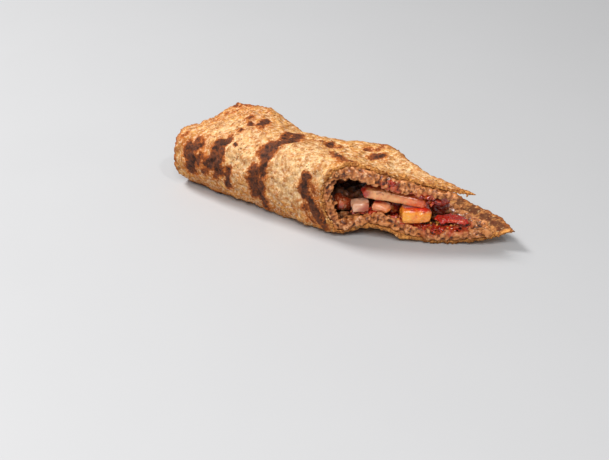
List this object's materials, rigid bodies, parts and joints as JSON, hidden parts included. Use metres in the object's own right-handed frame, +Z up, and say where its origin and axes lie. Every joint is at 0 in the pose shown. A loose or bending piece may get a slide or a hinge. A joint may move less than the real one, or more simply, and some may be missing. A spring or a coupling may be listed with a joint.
{
  "type": "flatbread sandwich half",
  "caption": "One half of a thin flatbread folded over minced meat, tomato and onion and cut on a slant, lying flat with the cut face open.",
  "frame": {"origin": "under the middle of the sandwich's bounding box, on the surface that it lies on", "axes": "+X along the sandwich's length towards the pointed tip of the cut, +Y away from the cut face, +Z up"},
  "size_m": [0.1696, 0.1072, 0.0409],
  "materials": {
    "bread": "dry baked flatbread with dark griddle marks",
    "meat": "moist crumbly cooked minced meat",
    "tomato": "wet cut tomato",
    "onion": "wet translucent onion"
  },
  "bodies": {
    "root": {"flatbread": "bread", "meat_layer": "meat", "tomato_strip": "tomato", "tomato_chunk": "tomato", "tomato_middle": "tomato", "tomato_left": "tomato", "tomato_pulp": "tomato", "tomato_hanging": "tomato", "tomato_lower": "tomato", "tomato_skin": "tomato", "onion_cube": "onion", "onion_back": "onion", "tomato_deep_1": "tomato", "tomato_deep_2": "tomato", "tomato_deep_3": "tomato", "tomato_deep_4": "tomato", "tomato_deep_5": "tomato", "tomato_deep_6": "tomato", "tomato_deep_7": "tomato", "onion_deep_1": "onion", "onion_deep_2": "onion", "onion_deep_3": "onion", "onion_deep_4": "onion", "onion_deep_5": "onion", "tomato_deep_8": "tomato", "tomato_deep_9": "tomato", "tomato_deep_10": "tomato", "tomato_deep_11": "tomato", "tomato_deep_12": "tomato", "onion_deep_6": "onion", "onion_deep_7": "onion"}
  },
  "joints": []
}
